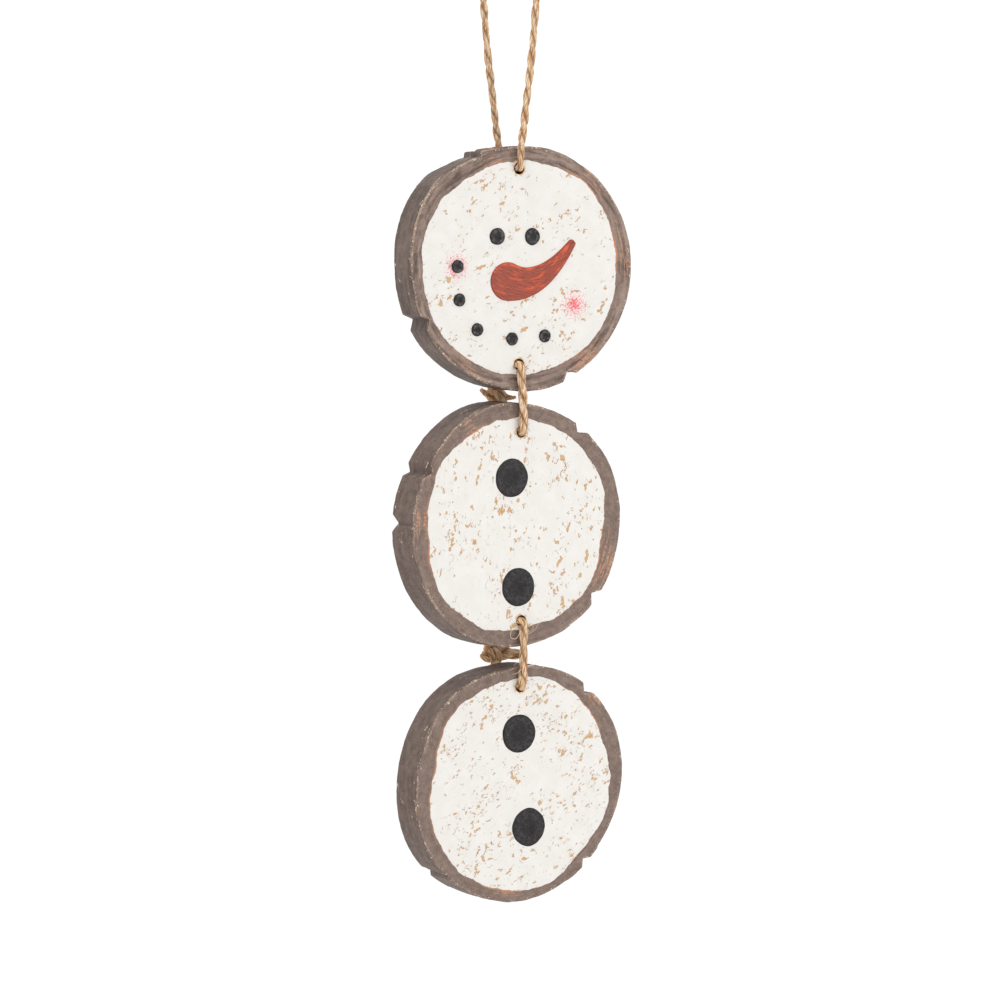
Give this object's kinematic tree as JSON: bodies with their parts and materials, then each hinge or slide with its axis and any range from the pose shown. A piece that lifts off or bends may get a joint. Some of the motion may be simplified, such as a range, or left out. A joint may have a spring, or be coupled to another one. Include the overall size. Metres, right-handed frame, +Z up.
{
  "type": "hanging wooden snowman",
  "caption": "Hanging snowman made of round painted wood slices strung one under the other on knotted jute twine, with a hanging loop at the top.",
  "frame": {"origin": "inner top of the hanging loop, where the hook bears", "axes": "+Z up, the painted faces look towards -Y, +X is to the right when they are seen from the front"},
  "size_m": [0.0906, 0.0249, 0.3405],
  "materials": {
    "painted_wood": "matt paint over wood, off-white front faces and grey-brown rims",
    "black_paint": "thick matt black paint",
    "nose_paint": "thick brushed brick-red paint",
    "twine": "two-ply jute twine"
  },
  "bodies": {
    "hanger": {"hanger_cord": "twine"},
    "sling": {"hanger_sling": "twine", "hanger_knot": "twine"},
    "head": {"head_disc": "painted_wood", "left_eye": "black_paint", "right_eye": "black_paint", "carrot_nose": "nose_paint", "mouth_dot_1": "black_paint", "mouth_dot_2": "black_paint", "mouth_dot_3": "black_paint", "mouth_dot_4": "black_paint", "mouth_dot_5": "black_paint"},
    "upper_link_a": {"upper_link_top": "twine"},
    "upper_link_b": {"upper_link_knot": "twine"},
    "upper_link_c": {"upper_link_bottom": "twine"},
    "middle": {"middle_disc": "painted_wood", "middle_button_upper": "black_paint", "middle_button_lower": "black_paint"},
    "lower_link_a": {"lower_link_top": "twine"},
    "lower_link_b": {"lower_link_knot": "twine"},
    "lower_link_c": {"lower_link_bottom": "twine"},
    "bottom": {"bottom_disc": "painted_wood", "bottom_button_upper": "black_paint", "bottom_button_lower": "black_paint"}
  },
  "joints": [
    {"name": "head_twist", "type": "hinge", "parent": "hanger", "child": "sling", "pos_m": [0, 0, -0.0765], "axis": [0, 0, 1], "range_deg": [-30, 30], "stiffness_Nm_per_rad": 0.002, "deforming": ["hanger_cord"]},
    {"name": "head_sway", "type": "hinge", "parent": "sling", "child": "head", "pos_m": [0, 0, -0.0765], "axis": [0.0698, 0.9976, 0], "range_deg": [-15, 15]},
    {"name": "upper_link_sway", "type": "hinge", "parent": "head", "child": "upper_link_a", "pos_m": [0, 0, -0.1456], "axis": [0.0698, 0.9976, 0], "range_deg": [-12, 12]},
    {"name": "middle_tilt", "type": "hinge", "parent": "upper_link_a", "child": "upper_link_b", "pos_m": [0, 0, -0.1572], "axis": [1, -0.0044, 0], "range_deg": [-12, 12], "deforming": ["upper_link_top"]},
    {"name": "middle_twist", "type": "hinge", "parent": "upper_link_b", "child": "upper_link_c", "pos_m": [0, 0, -0.1572], "axis": [0, 0, 1], "range_deg": [-25, 25], "stiffness_Nm_per_rad": 0.003, "deforming": ["upper_link_bottom"]},
    {"name": "middle_sway", "type": "hinge", "parent": "upper_link_c", "child": "middle", "pos_m": [0, 0, -0.1695], "axis": [-0.061, 0.9981, 0], "range_deg": [-12, 12]},
    {"name": "lower_link_sway", "type": "hinge", "parent": "middle", "child": "lower_link_a", "pos_m": [0, 0, -0.2368], "axis": [-0.061, 0.9981, 0], "range_deg": [-12, 12]},
    {"name": "bottom_tilt", "type": "hinge", "parent": "lower_link_a", "child": "lower_link_b", "pos_m": [0, 0, -0.2492], "axis": [0.9992, 0.0393, 0], "range_deg": [-12, 12], "deforming": ["lower_link_top"]},
    {"name": "bottom_twist", "type": "hinge", "parent": "lower_link_b", "child": "lower_link_c", "pos_m": [0, 0, -0.2492], "axis": [0, 0, 1], "range_deg": [-25, 25], "stiffness_Nm_per_rad": 0.002, "deforming": ["lower_link_bottom"]},
    {"name": "bottom_sway", "type": "hinge", "parent": "lower_link_c", "child": "bottom", "pos_m": [0, 0, -0.2603], "axis": [-0.0175, 0.9998, 0], "range_deg": [-12, 12]}
  ]
}
